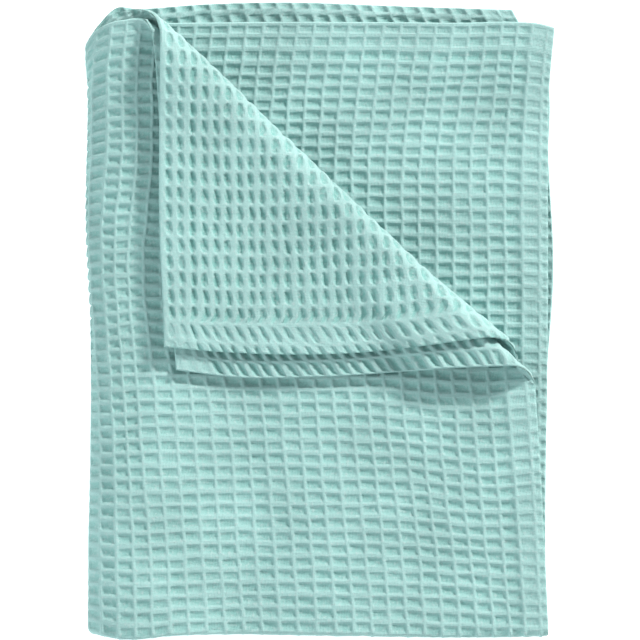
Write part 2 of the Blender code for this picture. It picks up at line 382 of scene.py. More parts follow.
    def turn_corner(self, x: Array, y: Array, height: Array, first: Array) -> tuple[Array, Array, Array]:
        """Turns what lies past the diagonal up and over: half an ellipse, then back over the cloth.

        Args:
            x: from the side fold.
            y: from the bottom fold.
            height: above the pair's middle.
            first: true on the top layer, whose loop lies inside that of the second layer.

        Returns:
            The new X, Y and height.
        """
        out_x, out_y = math.sin(self.diagonal_angle), math.cos(self.diagonal_angle)
        past = (x - self.diagonal_x) * out_x + (y - self.diagonal_y) * out_y
        along = (x - self.diagonal_x) * out_y - (y - self.diagonal_y) * out_x
        first_reach, first_rise, second_reach, settle_from, settle_to = (
            read(TURN_ROWS, name, along) for name in TurnRow._fields[1:]
        )
        reach = np.where(first, first_reach, second_reach)
        rise = np.where(first, first_rise, first_rise + self.spacing)
        length = math.pi / 2 * (3 * (reach + rise) - np.sqrt((3 * reach + rise) * (reach + 3 * rise)))
        angle = math.pi * np.clip(past / length, 0.0, 1.0)
        back = np.maximum(past - length, 0.0)
        new_past = np.where(past > 0, reach * np.sin(angle) - back, past)
        settling = smooth_step((back - settle_from) / (settle_to - settle_from))
        settled = (2 * first_rise - self.spacing) * settling
        return (
            self.diagonal_x + new_past * out_x + along * out_y,
            self.diagonal_y + new_past * out_y - along * out_x,
            height + rise * (1.0 - np.cos(angle)) - settled,
        )

    def side_fold(self, x: Array, height: Array) -> tuple[Array, Array]:
        """Bends the plane round the side fold: a point on its line, moved square to the line.

        Args:
            x: along the line from the side fold.
            height: how far to move, square to the line.

        Returns:
            X and Z.
        """
        along, profile_x, profile_z = self.profile
        tangent_x = np.interp(x, along, np.gradient(profile_x, along))
        tangent_z = np.interp(x, along, np.gradient(profile_z, along))
        size = np.hypot(tangent_x, tangent_z)
        new_x = np.interp(x, along, profile_x) - height * tangent_z / size
        new_z = np.interp(x, along, profile_z) + height * tangent_x / size
        return new_x, new_z

    def unevenness(self, x: Array, y: Array, z: Array) -> tuple[Array, Array, Array]:
        """Adds the long soft waves, the crease beside the side fold, and the wandering folded edges.

        Args:
            x: from the side fold.
            y: from the bottom fold.
            z: above the table. The lowest layer stays level.

        Returns:
            The new X, Y and Z.
        """
        lift = waves(RIPPLE_ROWS, x, y)
        crease = bell(x - self.crease_x, self.crease_half_width)
        crease = crease * bell(y - self.crease_y, self.crease_half_length)
        free = smooth_step((z - self.thickness / 2) / (3 * self.spacing))
        above = smooth_step((z - 2 * self.spacing) / self.spacing)
        inward = read(LEFT_EDGE_ROWS, "shift", y)
        outward = read(BOTTOM_EDGE_ROWS, "shift", x)
        new_x = x + inward * smooth_step(1.0 - x / self.left_edge_fades_over)
        new_y = y - outward * smooth_step(1.0 - y / self.bottom_edge_fades_over)
        return new_x, new_y, z + free * lift - above * self.crease_depth * crease

    def place(self, u: Array, v: Array) -> Array:
        """The middle of the cloth's thickness at (u, v), once it is folded and lies at its place.

        Args:
            u: across the flat sheet.
            v: along the flat sheet.

        Returns:
            Points, with X, Y and Z in the last axis.
        """
        x, y = self.spread(u, v)
        folded_y, height = self.bottom_fold(y)
        turned = self.turn_corner(x, folded_y, height, y > 0)
        upper = x > 0
        flat_x, flat_y, flat_height = (
            np.where(upper, new, old) for new, old in zip(turned, (x, folded_y, height))
        )
        new_x, new_z = self.side_fold(flat_x, flat_height)
        new_x, new_y, new_z = self.unevenness(new_x, flat_y, new_z)
        return np.stack([new_x + self.shift_x, new_y + self.shift_y, new_z], axis=-1)


# ----------------------------------------
# The weave
# ----------------------------------------


class Face(Enum):
    """The two faces of the cloth. The value is the way that the face looks along the sheet's normal."""

    FRONT = 1.0
    BACK = -1.0


ACROSS_WOBBLE_ROWS = (
    WaveRow(0.00030, 61.0, 44.0, 0.3),
    WaveRow(0.00025, -98.0, 137.0, 1.1),
    WaveRow(0.00020, 217.0, 183.0, 2.3),
)
ALONG_WOBBLE_ROWS = (
    WaveRow(0.00030, 51.0, -69.0, 2.0),
    WaveRow(0.00022, 146.0, 93.0, 0.7),
    WaveRow(0.00018, -195.0, 222.0, 1.6),
)

# The rates and the scale of the sine whose digits give each cell its chance numbers, and the phase that
# keeps each use of them apart from the others.
CHANCE_RATES = (12.9898, 78.233)
CHANCE_SCALE = 43758.5453
SALT_ACROSS, SALT_ALONG, SALT_DEPTH = 1.7, 4.1, 7.9

# How far the weave has slid in its own plane, in millimetres: across the sheet in the first table and along
# it in the second. A row starts with its place along the sheet, and its slides are at SLIDE_PLACES across
# it, all counted in cells. The cloth is bunched beside the side fold and pulled long near the bottom fold.
SLIDE_PLACES = (-26.5, -24.0, -12.0, 0.0, 2.0, 4.0, 6.0, 12.0, 18.0, 24.0, 26.5)
ACROSS_SLIDES_MM = (
    (-49.2, (0.0, -3.7, 0.5, 4.0, 3.5, 3.0, 2.5, 0.8, 0.6, 0.5, 0.0)),
    (-44.0, (0.0, -2.8, 1.5, 4.0, 3.0, 2.5, 2.0, -0.1, -0.7, -2.5, 0.0)),
    (-38.0, (0.0, 1.0, 3.0, 3.0, 2.0, 1.0, 0.0, -1.0, -2.5, -3.8, 0.0)),
    (-30.0, (0.0, 0.7, 2.0, 2.0, 1.0, 0.0, -1.0, -4.0, -5.0, -4.9, 0.0)),
    (-14.0, (0.0, -0.2, 0.0, 0.0, 0.0, 0.0, 0.0, 0.0, 0.0, 0.0, 0.0)),
    (0.0, (0.0, 0.0, 0.0, 0.0, -1.0, -2.5, -1.5, 4.0, 6.8, 4.5, 0.0)),
    (6.0, (0.0, 0.0, 0.0, 0.0, -2.0, -3.8, -3.8, 1.1, 4.0, 2.1, 0.0)),
    (12.0, (0.0, 0.0, 0.0, 1.0, -3.5, -8.2, -6.0, -1.9, -0.2, -0.9, 0.0)),
    (28.0, (0.0, 0.0, 0.0, 4.0, -0.5, -8.5, -9.5, -5.0, -3.0, -2.0, 0.0)),
    (34.0, (0.0, 0.0, 0.0, 6.0, 3.5, -1.8, -4.5, -4.0, -2.0, 0.0, 0.0)),
    (42.0, (0.0, 0.0, 0.0, 9.5, 9.5, 5.7, 3.0, 0.0, 0.0, 0.0, 0.0)),
    (49.2, (0.0, 0.0, 0.0, 9.5, 9.5, 6.0, 3.0, 0.0, 0.0, 0.0, 0.0)),
)
ALONG_SLIDES_MM = (
    (-49.2, (0.0, 0.0, 0.0, 0.0, -1.0, -1.0, -1.0, -1.5, -1.5, -1.5, -1.5)),
    (-47.8, (-1.0, -1.5, -1.2, -1.0, -1.7, -1.9, -2.0, -2.7, -2.6, -3.0, -3.0)),
    (-46.0, (0.5, 0.8, 0.5, 0.0, -2.6, -2.9, -3.2, -4.0, -3.9, -4.8, -4.8)),
    (-44.0, (-1.0, -1.8, -0.6, -1.5, -3.5, -4.0, -4.5, -5.5, -5.3, -6.8, -6.8)),
    (-41.0, (-2.0, -3.2, -1.8, -2.0, -3.5, -3.8, -4.3, -4.8, -6.0, -7.4, -7.4)),
    (-38.0, (-2.0, -3.2, -3.2, -3.0, -3.5, -3.5, -4.0, -4.0, -6.8, -8.0, -8.0)),
    (-30.0, (0.0, 0.2, -0.5, -2.0, -4.0, -5.0, -6.0, -8.0, -10.0, -12.5, -12.5)),
    (-14.0, (1.5, 0.0, 0.0, -1.0, -2.0, -3.0, -4.0, -6.0, -7.0, -8.0, -8.0)),
    (0.0, (0.0, 0.0, 0.0, 1.5, 1.5, 1.5, 1.5, 2.5, 1.5, -1.5, -3.0)),
    (6.0, (0.0, 0.0, 0.0, 2.5, 2.5, 2.2, 3.4, 4.4, 2.5, -2.7, -3.5)),
    (12.0, (0.0, 0.0, 0.0, 4.8, 5.2, 5.6, 6.2, 6.0, 4.2, -1.8, 0.8)),
    (28.0, (0.0, 0.0, 0.0, 6.5, 7.5, 8.9, 8.9, 7.5, 5.0, 2.0, 2.0)),
    (34.0, (0.0, 0.0, 0.0, 5.0, 6.0, 6.2, 6.2, 5.0, 3.0, 1.0, 1.0)),
    (42.0, (0.0, 0.0, 0.0, 3.0, 3.0, 3.0, 3.0, 2.0, 1.0, 0.0, 0.0)),
    (49.2, (0.0, 0.0, 0.0, 0.0, 0.0, 0.0, 0.0, 0.0, 0.0, 0.0, 0.0)),
)


@dataclass
class WaffleWeave:
    """Honeycomb weave: a grid of ridges with a rounded pit in each cell, on both faces, half a cell apart.

    The ridges along the sheet's length are thin and stand a little higher, and those across it are broad.
    A value for each layer is given for the top, second, third and bottom one.
    """

    half_width: float = 0.375
    half_length: float = 0.500
    cells_across: float = 26.5
    cells_along: float = 49.2
    crest: float = 1.75 * MM
    wall_depth: float = 1.15 * MM
    bowl_depth: float = 0.65 * MM
    layer_depths: tuple[float, float, float, float] = (1.0, 1.65, 1.0, 1.4)
    layer_ridges_mm: tuple[float, float, float, float] = (0.0, 0.15, 0.0, 0.0)
    layer_roundness: tuple[float, float, float, float] = (0.0, 0.42, 0.0, 0.0)
    turned_from: float = 22.0
    turned_fades_over: float = 4.0
    turned_starts_over: float = 0.3
    layer_side_hems: tuple[float, float, float, float] = (0.70, 0.75, 0.62, 0.70)
    turned_hem_deeper: float = 1.2
    turned_hem_slant: float = 0.42
    thin_ridge: float = 0.6 * MM
    broad_ridge: float = 1.35 * MM
    thin_wall: float = 1.9 * MM
    broad_wall: float = 1.5 * MM
    thin_crown: float = 0.25 * MM
    uneven_depth: float = 0.14
    uneven_place: float = 0.30
    uneven_crest: float = 0.16 * MM
    crown_half_width: float = 1.0 * MM
    wobble_fades_over: float = 40 * MM
    side_hem: float = 24.0 * MM
    end_hem: float = 26.5 * MM
    hem_blend: float = 2 * MM
    end_hem_flatter: float = 0.20
    hem_corner_flatter: float = 0.35
    hem_swell: float = 0.25 * MM
    seam_depth: float = 0.42 * MM
    seam_half_width: float = 1.6 * MM
    seam_shallower_in_corner: float = 0.4
    edge_round: float = 1.5 * MM
    least_cloth: float = 1.1 * MM

    @property
    def cell_width(self) -> float:
        """One cell across the sheet, about 14 mm."""
        return self.half_width / self.cells_across

    @property
    def cell_length(self) -> float:
        """One cell along the sheet, about 10 mm."""
        return self.half_length / self.cells_along

    def wobble(self, rows: Sequence[WaveRow], u: Array, v: Array) -> Array:
        """The sum of sine waves over the sheet, which falls to nothing at the hems.

        Args:
            rows: the waves.
            u: across the flat sheet.
            v: along the flat sheet.

        Returns:
            The push in metres.
        """
        inside = smooth_step((self.half_width - np.abs(u)) / self.wobble_fades_over)
        inside = inside * smooth_step((self.half_length - np.abs(v)) / self.wobble_fades_over)
        return inside * waves(rows, u, v)

    @staticmethod
    def slide(table: Sequence[tuple[float, tuple[float, ...]]], a: Array, b: Array) -> Array:
        """Reads a table of slides: along b through each column, then across a through those values.

        The curve through points is linear in its values, so the curve through 1 at one place and 0 at the
        others is the weight of that place.

        Args:
            table: rows of a place along the sheet and its slides.
            a: cells across.
            b: cells along.

        Returns:
            The slide in metres.
        """
        along = np.array([row[0] for row in table])
        slides = np.array([row[1] for row in table]) * MM
        across = np.array(SLIDE_PLACES)
        weights = np.eye(len(across))
        return sum(
            through(across, weights[place], a) * through(along, slides[:, place], b)
            for place in range(len(across))
        )

    def sheet_place(self, a: Array, b: Array) -> tuple[Array, Array]:
        """Where the weave's point (a, b) lies on the flat sheet, with the distortions of real cloth.

        Args:
            a: cells across, from the middle.
            b: cells along, from the middle.

        Returns:
            u and v on the flat sheet.
        """
        u, v = a * self.cell_width, b * self.cell_length
        new_u = u + self.wobble(ACROSS_WOBBLE_ROWS, u, v) + self.slide(ACROSS_SLIDES_MM, a, b)
        new_v = v + self.wobble(ALONG_WOBBLE_ROWS, u, v) + self.slide(ALONG_SLIDES_MM, a, b)
        past = u - (self.half_width - self.side_hem)
        slant = np.sign(b) * self.turned_hem_slant * (past - self.side_hem / 2) * self.turned_hem(a, b)
        return new_u, new_v - slant

    def hem_shares(self, a: Array, b: Array) -> tuple[Array, Array, Array, Array]:
        """How much each point belongs to the hems.

        Args:
            a: cells across.
            b: cells along.

        Returns:
            The distances to the side and end edges, and the shares of the side hem and the end hem.
        """
        side_gap = (self.cells_across - np.abs(a)) * self.cell_width
        end_gap = (self.cells_along - np.abs(b)) * self.cell_length
        side = smooth_step((self.side_hem - side_gap) / self.hem_blend + 0.5)
        end = smooth_step((self.end_hem - end_gap) / self.hem_blend + 0.5)
        return side_gap, end_gap, side, end

    @staticmethod
    def cell_chance(cell_a: Array, cell_b: Array, salt: float) -> Array:
        """A fixed chance number from -1 to 1 for each cell: the digits of a large sine."""
        raw = np.sin(cell_a * CHANCE_RATES[0] + cell_b * CHANCE_RATES[1] + salt) * CHANCE_SCALE
        return 2.0 * (raw - np.floor(raw)) - 1.0

    @staticmethod
    def slub(a: Array, b: Array) -> Array:
        """Thick and thin places of the ridges: sines whose rates never line up with the cells."""
        return np.sin(4.3 * a + 2.9 * b) * np.sin(3.7 * b - 5.1 * a) + 0.6 * np.sin(9.1 * a - 7.3 * b)

    @staticmethod
    def by_layer(values: Sequence[float], a: Array, b: Array) -> Array:
        """Blends the values of the four layers where the layers meet, by smooth steps across each fold.

        Args:
            values: for the top, second, third and bottom layer.
            a: cells across.
            b: cells along.

        Returns:
            The value for each point.
        """
        upper, outer = smooth_step(a + 0.5), smooth_step(b + 0.5)
        top, second, third, bottom = values
        over = outer * top + (1.0 - outer) * second
        under = outer * bottom + (1.0 - outer) * third
        return upper * over + (1.0 - upper) * under

    def turned_hem(self, a: Array, b: Array) -> Array:
        """Where the hem of the turned corner has pulled the cells aslant: a product of three smooth steps.

        Args:
            a: cells across.
            b: cells along.

        Returns:
            The share, 1 in that part of the side hems and 0 elsewhere.
        """
        inner = self.cells_across - self.side_hem / self.cell_width
        from_end = self.cells_along - np.abs(b)
        near = smooth_step((np.abs(b) - self.turned_from) / self.turned_fades_over)
        near = near * smooth_step(from_end / self.turned_fades_over)
        return near * smooth_step((a - inner) / self.turned_starts_over + 0.5)

    def pit(self, a: Array, b: Array, shift: float) -> Array:
        """How deep each point lies in its pit, below the ridges.

        The pit has a wall all round, steep at its middle height, and a floor like a shallow bowl. The two
        walls are multiplied, so the pit has square corners. Each pit is a little deeper or shallower than
        its neighbours, and its middle a little off the cell's.

        Args:
            a: cells across.
            b: cells along.
            shift: how far this face's grid lies from the whole numbers.

        Returns:
            The depth, 0 on the ridges.
        """
        cell_a, cell_b = np.floor(a + shift), np.floor(b + shift)
        in_a, in_b = a + shift - cell_a, b + shift - cell_b
        lean_a = self.uneven_place * self.cell_chance(cell_a, cell_b, SALT_ACROSS)
        lean_b = self.uneven_place * self.cell_chance(cell_a, cell_b, SALT_ALONG)
        off_a = np.abs(in_a - 0.5 + lean_a * in_a * (1.0 - in_a)) * self.cell_width
        off_b = np.abs(in_b - 0.5 + lean_b * in_b * (1.0 - in_b)) * self.cell_length
        roundness = self.by_layer(self.layer_roundness, a, b)
        free_a = self.cell_width / 2 - self.thin_ridge
        free_b = self.cell_length / 2 - self.broad_ridge - self.by_layer(self.layer_ridges_mm, a, b) * MM
        free_a, free_b = (
            free_a * (1.0 - roundness * np.clip(off_b / free_b, 0.0, 1.0) ** 2),
            free_b * (1.0 - roundness * np.clip(off_a / free_a, 0.0, 1.0) ** 2),
        )
        wall = smooth_step((free_a - off_a) / self.thin_wall)
        wall = wall * smooth_step((free_b - off_b) / self.broad_wall)
        bowl = np.clip(1.0 - (off_a / free_a) ** 2, 0.0, 1.0)
        bowl = bowl * np.clip(1.0 - (off_b / free_b) ** 2, 0.0, 1.0)
        chance = 1.0 + self.uneven_depth * self.cell_chance(cell_a, cell_b, SALT_DEPTH)
        return chance * (self.wall_depth * wall + self.bowl_depth * bowl)

    def weave_height(self, a: Array, b: Array, face: Face) -> Array:
        """Height of a face above the middle of the cloth, as if the other face and the edge weren't there.

        The ridges rise and fall a little along their length, and the pits go down between them. Hems are
        flatter and fuller, with a seam groove along their inner side.

        Args:
            a: cells across.
            b: cells along.
            face: the face that is asked for. The back's grid lies half a cell away from the front's.

        Returns:
            The height, below zero in a deep pit.
        """
        shift = 0.0 if face is Face.FRONT else 0.5
        across = np.abs((a + shift + 0.5) % 1.0 - 0.5) * self.cell_width
        side_gap, end_gap, side, end = self.hem_shares(a, b)
        side_keep = self.by_layer(self.layer_side_hems, a, b)
        keep = (1.0 - (1.0 - side_keep) * side) * (1.0 - self.end_hem_flatter * end)
        keep = keep * (1.0 - self.hem_corner_flatter * side * end)
        depth = self.by_layer(self.layer_depths, a, b)
        depth = depth + self.turned_hem_deeper * self.turned_hem(a, b) * smooth_step(b)
        crown = self.thin_crown * (1.0 - smooth_step(a) * smooth_step(-b))
        seam = np.maximum(
            bell(side_gap - self.side_hem, self.seam_half_width),
            bell(end_gap - self.end_hem, self.seam_half_width),
        )
        return (
            self.crest
            + self.uneven_crest * self.slub(a, b)
            + self.hem_swell * np.maximum(side, end)
            - keep * (depth * self.pit(a, b, shift) - crown * bell(across, self.crown_half_width))
            - self.seam_depth * seam * (1.0 - self.seam_shallower_in_corner * np.minimum(side, end))
        )

    def relief(self, a: Array, b: Array, face: Face) -> Array:
        """Height of a face above the middle of the cloth, as it is built.

        Where the pits of both faces would leave less than the least cloth between them, each face gives
        back half of what is missing. The least is generous, because the mesh follows this height only at
        its lines. Where the cloth bends tightest, mostly inside the side fold, about 300 pairs of its
        triangles still cut each other. The edge itself is a quarter of an ellipse.

        Args:
            a: cells across.
            b: cells along.
            face: the face that is asked for.

        Returns:
            The height. At any one point the front's and the back's add up to the least cloth or more,
            and to less only within the rounded edge.
        """
        front, back = self.weave_height(a, b, Face.FRONT), self.weave_height(a, b, Face.BACK)
        missing = np.maximum(self.least_cloth - front - back, 0.0)
        height = (front if face is Face.FRONT else back) + missing / 2
        side_gap, end_gap, _, _ = self.hem_shares(a, b)
        gap = np.clip(np.minimum(side_gap, end_gap) / self.edge_round, 0.0, 1.0)
        return height * np.sqrt(1.0 - (1.0 - gap) ** 2)


@dataclass(frozen=True)
class FaceLines:
    """The mesh lines of one face in one direction.

    Each plain cell has lines at `steps`, in shares of a cell. The last `hem_cells` whole cells have theirs
    at `hem_steps`, and the very last lines close in on the hem's edge, at distances in millimetres.
    """

    steps: tuple[float, ...]
    hem_cells: int
    hem_steps: tuple[float, ...]
    edge_mm: tuple[float, ...]

    def lines(self, cells: float, cell: float) -> Array:
        """The lines from the fold to the edge.

        Args:
            cells: how many cells the layer has this way.
            cell: the size of one.

        Returns:
            The rising places of the lines, in cells.
        """
        whole = int(cells)
        plain_cells = whole - self.hem_cells
        plain = np.add.outer(np.arange(plain_cells), self.steps).ravel()
        hem = np.add.outer(np.arange(plain_cells, whole), self.hem_steps).ravel()
        edge = cells - np.array(self.edge_mm) * MM / cell
        return np.concatenate([plain, hem, edge])


# The front has more lines than the back, and they lie closer beside the ridges.
FINE_ACROSS = (0.0, 0.05, 0.105, 0.18, 0.5, 0.82, 0.895, 0.95)
LINES_ACROSS = {
    Face.FRONT: FaceLines(
        steps=FINE_ACROSS,
        hem_cells=1,
        hem_steps=FINE_ACROSS,
        edge_mm=(7.07, 6.2, 5.2, 4.0, 2.6, 1.5, 0.7, 0.2, 0.0),
    ),
    Face.BACK: FaceLines(
        steps=(0.0, 0.38, 0.5, 0.62),
        hem_cells=1,
        hem_steps=(0.0, 0.18, 0.33, 0.42, 0.5, 0.58, 0.67, 0.82),
        edge_mm=(7.07, 4.6, 2.6, 1.4, 0.7, 0.25, 0.05),
    ),
}
LINES_ALONG = {
    Face.FRONT: FaceLines(
        steps=(0.0, 0.145, 0.27, 0.5, 0.73, 0.855),
        hem_cells=3,
        hem_steps=(0.0, 0.08, 0.145, 0.205, 0.27, 0.40, 0.5, 0.60, 0.73, 0.795, 0.855, 0.92),
        edge_mm=(2.03, 1.6, 1.1, 0.65, 0.3, 0.1, 0.0),
    ),
    Face.BACK: FaceLines(
        steps=(0.0, 0.31, 0.69),
        hem_cells=26,
        hem_steps=(0.0, 0.20, 0.36, 0.64, 0.80),
        edge_mm=(2.03, 1.0, 0.3, 0.05),
    ),
}


# ----------------------------------------
# The layers
# ----------------------------------------


class Layer(Enum):
    """The four layers of the stack, from the top, as the signs of a and b on the sheet."""

    TOP = (1.0, 1.0)
    SECOND = (1.0, -1.0)
    THIRD = (-1.0, -1.0)
    BOTTOM = (-1.0, 1.0)


@dataclass
class FaceGrid:
    """One face of one layer as a grid: points, normals, sheet coordinates and relief, rows along b."""

    points: Array
    normals: Array
    sheet: Array
    relief: Array

    @property
    def shape(self) -> tuple[int, int]:
        """Lines across and lines along."""
        return self.points.shape[0], self.points.shape[1]

    def rim(self) -> tuple[Array, Array]:
        """The grid's border, once round from the first vertex.

        Returns:
            Vertex numbers, and how far round each lies: each side adds 1, whatever its length.
        """
        rows, cols = self.shape
        number = np.arange(rows * cols).reshape(rows, cols)
        across, along = (
            np.abs(line - line[0]) / abs(line[-1] - line[0])
            for line in (self.sheet[:, 0, 0], self.sheet[0, :, 1])
        )
        return (
            np.concatenate([number[0, :-1], number[:-1, -1], number[-1, :0:-1], number[:0:-1, 0]]),
            np.concatenate([along[:-1], 1.0 + across[:-1], 3.0 - along[:0:-1], 4.0 - across[:0:-1]]),
        )


@dataclass
class BlanketLayer:
    """One layer of the blanket: both faces of a quarter of the sheet, closed by a wall all round."""

    layer: Layer
    fold: BlanketFold
    weave: WaffleWeave
    probe: float = 0.035

    @property
    def name(self) -> str:
        """The piece's name."""
        return f"blanket_{self.layer.name.lower()}_layer"

    def middle(self, a: Array, b: Array) -> Array:
        """The middle of the cloth at the weave's point (a, b)."""
        return self.fold.place(*self.weave.sheet_place(a, b))

    def side_of(self, place: Callable[[Array, Array], Array], a: Array, b: Array) -> Array:
        """The unit normal of a surface, from the cross product of its slopes across and along.

        Args:
            place: the surface, a function of a and b.
            a: cells across.
            b: cells along.

        Returns:
            Unit vectors.
        """
        step = self.probe
        slope_a = place(a + step, b) - place(a - step, b)
        slope_b = place(a, b + step) - place(a, b - step)
        normal = np.cross(slope_a, slope_b)
        return normal / np.maximum(np.linalg.norm(normal, axis=-1, keepdims=True), TINY)

    def surface(self, a: Array, b: Array, face: Face) -> Array:
        """A face of the cloth: its middle, moved along its normal by the relief."""
        height = face.value * self.weave.relief(a, b, face)
        return self.middle(a, b) + self.side_of(self.middle, a, b) * height[..., None]

    def grid(self, face: Face) -> FaceGrid:
        """Computes a whole face at once on its grid of lines.

        Args:
            face: the face that is asked for.

        Returns:
            The face's points, normals, sheet coordinates and relief.
        """
        sign_a, sign_b = self.layer.value
        weave = self.weave
        across = LINES_ACROSS[face].lines(weave.cells_across, weave.cell_width)
        along = LINES_ALONG[face].lines(weave.cells_along, weave.cell_length)
        a, b = np.meshgrid(sign_a * across, sign_b * along, indexing="ij")
        points = self.surface(a, b, face)
        normals = face.value * self.side_of(lambda x, y: self.surface(x, y, face), a, b)
        sheet = np.stack([a * weave.cell_width, b * weave.cell_length], axis=-1)
        return FaceGrid(points, normals, sheet, weave.relief(a, b, face))

    @staticmethod
    def quads(grid: FaceGrid, first: int, flip: bool) -> Array:
        """Four vertex numbers for each cell of a grid.

        Args:
            grid: the grid.
            first: the number of its first vertex in the mesh.
            flip: whether the faces turn the other way.

        Returns:
            An array with four columns.
        """
        rows, cols = grid.shape
        number = first + np.arange(rows * cols).reshape(rows, cols)
        corners = [number[:-1, :-1], number[1:, :-1], number[1:, 1:], number[:-1, 1:]]
        if flip:
            corners.reverse()
        return np.stack([corner.ravel() for corner in corners], axis=1)

    @staticmethod
    def wall(front: FaceGrid, back: FaceGrid, first_back: int, flip: bool) -> Array:
        """Triangles between the borders of the two faces, which may have different numbers of points.

        The way round is walked on both borders at once, one stretch at a time, whichever ends first.

        Args:
            front: the front's grid, whose vertices come first in the mesh.
            back: the back's grid.
            first_back: the number of the back's first vertex in the mesh.
            flip: whether the faces turn the other way.

        Returns:
            An array with three columns, a triangle for each stretch of either border.
        """
        (front_rim, front_way), (back_rim, back_way) = front.rim(), back.rim()
        back_rim = back_rim + first_back
        order = np.argsort(np.concatenate([front_way[1:], [4.0], back_way[1:], [4.0]]), kind="stable")
        on_front = (order < len(front_rim)).astype(int)
        front_done = np.cumsum(on_front) - on_front
        back_done = np.cumsum(1 - on_front) - (1 - on_front)
        reached = np.where(
            on_front == 1,
            front_rim[(front_done + 1) % len(front_rim)],
            back_rim[(back_done + 1) % len(back_rim)],
        )
        triangles = np.stack(
            [front_rim[front_done % len(front_rim)], back_rim[back_done % len(back_rim)], reached], axis=1
        )
        return triangles[:, ::-1] if flip else triangles

    def build(self, finish: bpy.types.Material) -> bpy.types.Object:
        """Makes the layer's mesh and object, with its sheet coordinates, relief and smooth normals.

        Args:
            finish: the cotton.

        Returns:
            The piece.
        """
        front, back = self.grid(Face.FRONT), self.grid(Face.BACK)
        turned = self.layer.value[0] * self.layer.value[1] < 0
        first_back = front.relief.size
        quads = np.concatenate([self.quads(front, 0, turned), self.quads(back, first_back, not turned)])
        triangles = self.wall(front, back, first_back, turned)
        points = np.concatenate([front.points.reshape(-1, 3), back.points.reshape(-1, 3)])
        normals = np.concatenate([front.normals.reshape(-1, 3), back.normals.reshape(-1, 3)])
        sheet = np.concatenate([front.sheet.reshape(-1, 2), back.sheet.reshape(-1, 2)])
        relief = np.concatenate([front.relief.ravel(), back.relief.ravel()])
        mesh = self.fill_mesh(points, quads, triangles)
        corners = np.zeros(len(mesh.loops), dtype=np.int32)
        mesh.loops.foreach_get("vertex_index", corners)
        mesh.uv_layers.new(name="sheet").data.foreach_set("uv", sheet[corners].astype(np.float32).ravel())
        relief_mm = mesh.attributes.new("relief", "FLOAT", "POINT")
        relief_mm.data.foreach_set("value", (relief / MM).astype(np.float32))
        mesh.materials.append(finish)
        mesh.normals_split_custom_set_from_vertices(normals.astype(np.float32))
        piece = bpy.data.objects.new(self.name, mesh)
        bpy.context.scene.collection.objects.link(piece)
        return piece

    def fill_mesh(self, points: Array, quads: Array, triangles: Array) -> bpy.types.Mesh:
        """Puts points and faces into a new mesh with foreach_set.

        Args:
            points: vertex places.
            quads: faces with four corners.
            triangles: faces with three corners.

        Returns:
            The mesh, shaded smooth.
        """
        mesh = bpy.data.meshes.new(self.name)
        corners = np.concatenate([quads.ravel(), triangles.ravel()]).astype(np.int32)
        sizes = np.concatenate([np.full(len(quads), 4), np.full(len(triangles), 3)]).astype(np.int32)
        starts = np.concatenate([[0], np.cumsum(sizes)[:-1]]).astype(np.int32)
        mesh.vertices.add(len(points))
        mesh.vertices.foreach_set("co", points.astype(np.float32).ravel())
        mesh.loops.add(len(corners))
        mesh.loops.foreach_set("vertex_index", corners)
        mesh.polygons.add(len(sizes))
        mesh.polygons.foreach_set("loop_start", starts)
        mesh.update(calc_edges=True)
        mesh.validate()
        mesh.shade_smooth()
        return mesh


# ----------------------------------------
# Finishes
# ----------------------------------------


def add_node(
    tree: bpy.types.NodeTree, kind: str, settings: dict | None = None, links: dict | None = None
) -> bpy.types.Node:
    """Adds one node.

    Args:
        tree: the node tree.
        kind: the node's type.
        settings: attribute or input names, or input numbers, with their values.
        links: input names or numbers, with the output sockets that feed them.

    Returns:
        The node.
    """
    node = tree.nodes.new(kind)
    for key, value in (settings or {}).items():
        if isinstance(key, str) and hasattr(node, key):
            setattr(node, key, value)
        else:
            node.inputs[key].default_value = value
    for key, socket in (links or {}).items():
        tree.links.new(socket, node.inputs[key])
    return node


# How many radians a wave texture turns through over one metre at a scale of one.
WAVE_RADIANS = 20
# Relief in millimetres to a share of the ridge's colour against the pits' painted shade, noise to a share of
# lint, and noise to brightness.
PIT_SHADE_TO_RIDGE = {"From Min": -1.0, "From Max": 1.6, "To Min": 0.0, "To Max": 1.0}
LINT_SHARE = {"From Min": 0.52, "From Max": 0.72, "To Min": 0.0, "To Max": 0.45}
MOTTLING = {"From Min": 0.65, "From Max": 1.45, "To Min": 0.86, "To Max": 1.14}


